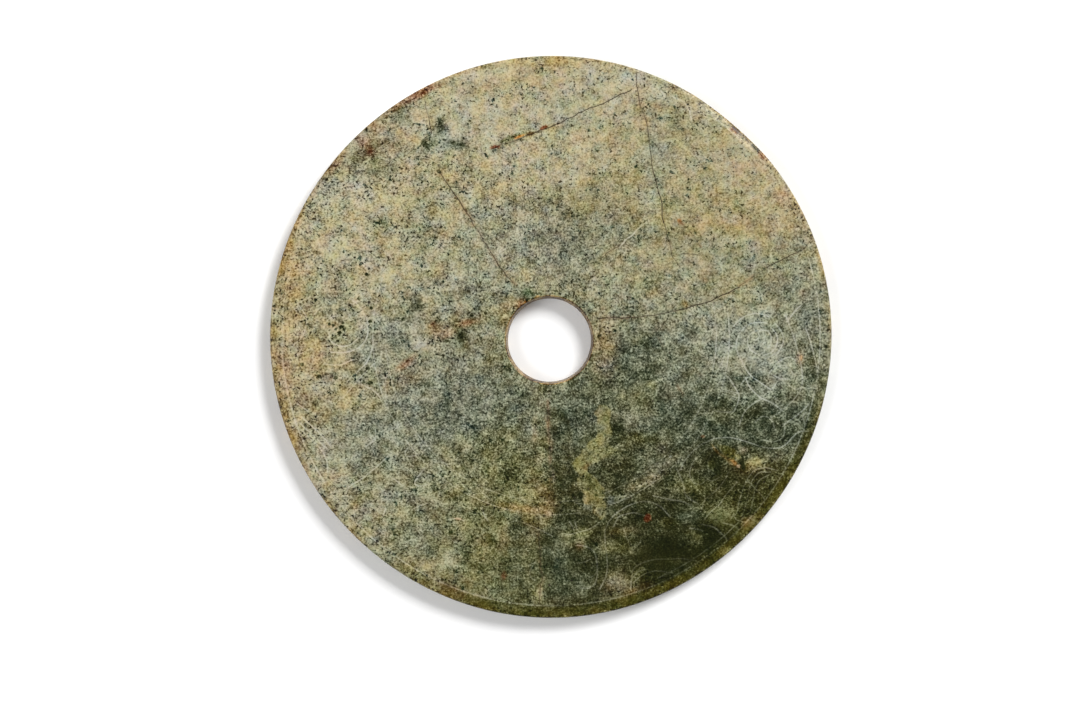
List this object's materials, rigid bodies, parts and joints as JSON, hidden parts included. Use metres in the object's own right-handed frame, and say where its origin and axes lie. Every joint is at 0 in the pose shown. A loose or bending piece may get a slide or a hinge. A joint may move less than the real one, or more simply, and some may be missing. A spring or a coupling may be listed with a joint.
{
  "type": "jade bi disc",
  "caption": "Flat round ritual disc of olive-green jade with a drilled central hole, an incised border ring and a bevelled rim.",
  "frame": {"origin": "centre of the underside's outline, on the surface that the disc lies on", "axes": "+Z out of the carved face, along the disc's axis; +Y towards the most worn part of the carved band, which is the top of the disc when it is shown upright; +X to the right of the carved face"},
  "size_m": [0.2804, 0.2807, 0.01],
  "materials": {
    "jade": "polished olive-green stone with cream, dark green and ochre mottling"
  },
  "bodies": {
    "root": {"bi_disc": "jade"}
  },
  "joints": []
}
